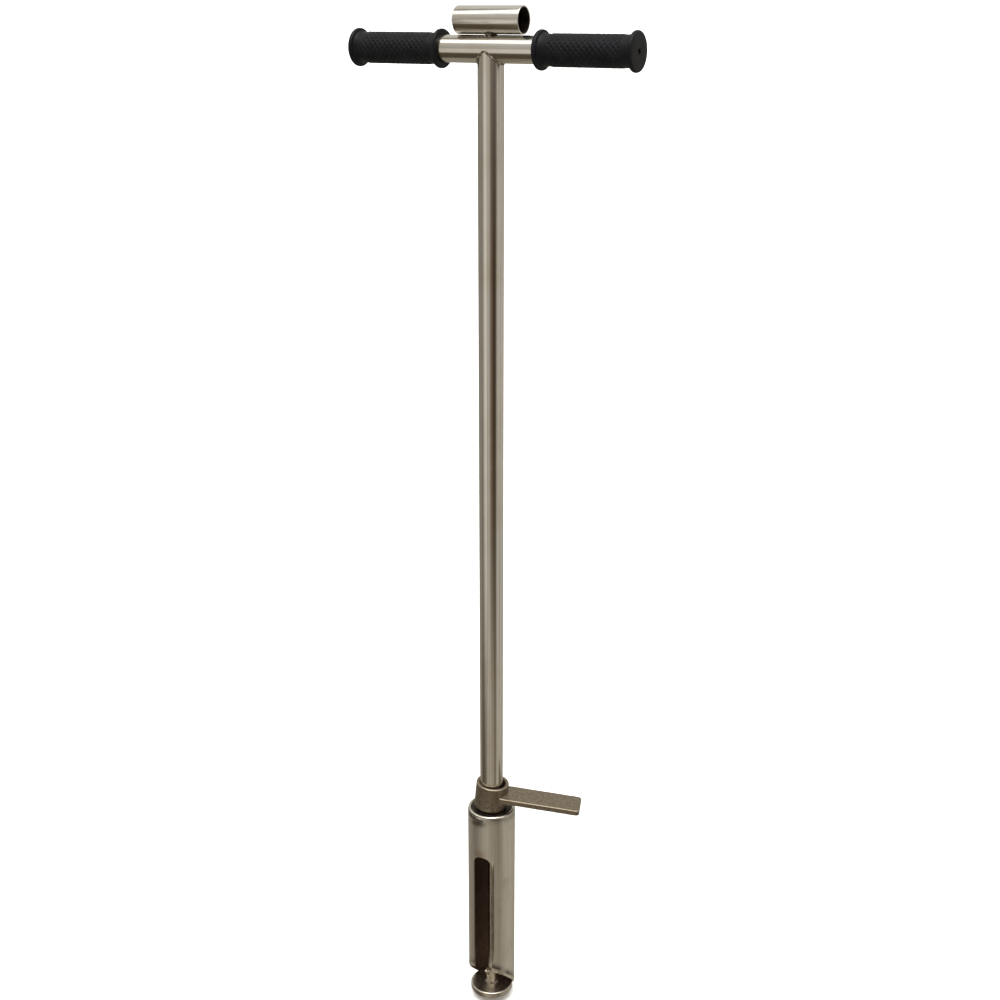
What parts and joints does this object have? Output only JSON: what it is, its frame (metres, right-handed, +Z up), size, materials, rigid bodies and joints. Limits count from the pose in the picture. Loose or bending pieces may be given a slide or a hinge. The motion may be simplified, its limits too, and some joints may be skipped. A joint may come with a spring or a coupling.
{
  "type": "soil core sampler",
  "caption": "Push-and-twist soil core sampler: T-handled tubular shaft, swivelling foot pedal, windowed barrel with an oblique cutting edge, and a sliding ejector.",
  "frame": {"origin": "on the tool's axis, level with the lowest point of the barrel's cutting edge", "axes": "+Z up along the shaft, X along the crossbar, -Y the side of the crossbar that the barrel's window faces"},
  "size_m": [0.304, 0.0785, 1.0988],
  "materials": {
    "stainless_tube": "polished and lightly brushed stainless tube",
    "stainless_barrel": "satin stainless tube with a ground rim and edges",
    "weld": "bare weld bead, partly ground",
    "cast_steel": "sand-cast stainless, tumbled",
    "grip_rubber": "black moulded rubber with a raised pattern",
    "bush_plastic": "natural nylon",
    "turned_steel": "turned stainless"
  },
  "bodies": {
    "root": {"crossbar_tube": "stainless_tube", "right_grip": "grip_rubber", "left_grip": "grip_rubber", "shaft_tube": "stainless_tube", "crossbar_weld": "weld", "upper_guide_bush": "bush_plastic", "lower_guide_bush": "bush_plastic", "sample_barrel": "stainless_barrel", "barrel_cap": "stainless_barrel", "barrel_cap_weld": "weld", "shaft_weld": "weld"},
    "pedal": {"foot_pedal": "cast_steel"},
    "ejector_rod": {"push_handle": "stainless_tube", "push_handle_weld": "weld", "push_rod": "turned_steel", "bayonet_pin": "turned_steel"},
    "ejector": {"ejector_disc": "turned_steel", "disc_socket": "turned_steel", "disc_weld": "weld"}
  },
  "joints": [
    {"name": "pedal_swivel", "type": "hinge", "parent": "root", "child": "pedal", "pos_m": [0, 0, 0.267], "axis": [0, 0, 1], "continuous": true},
    {"name": "ejector_slide", "type": "slide", "parent": "root", "child": "ejector_rod", "axis": [0, 0, 1], "range_m": [0, 0.2095]},
    {"name": "bayonet_twist", "type": "hinge", "parent": "ejector_rod", "child": "ejector", "pos_m": [0, 0, 0.03], "axis": [0, 0, 1], "range_deg": [-44, 0]}
  ]
}
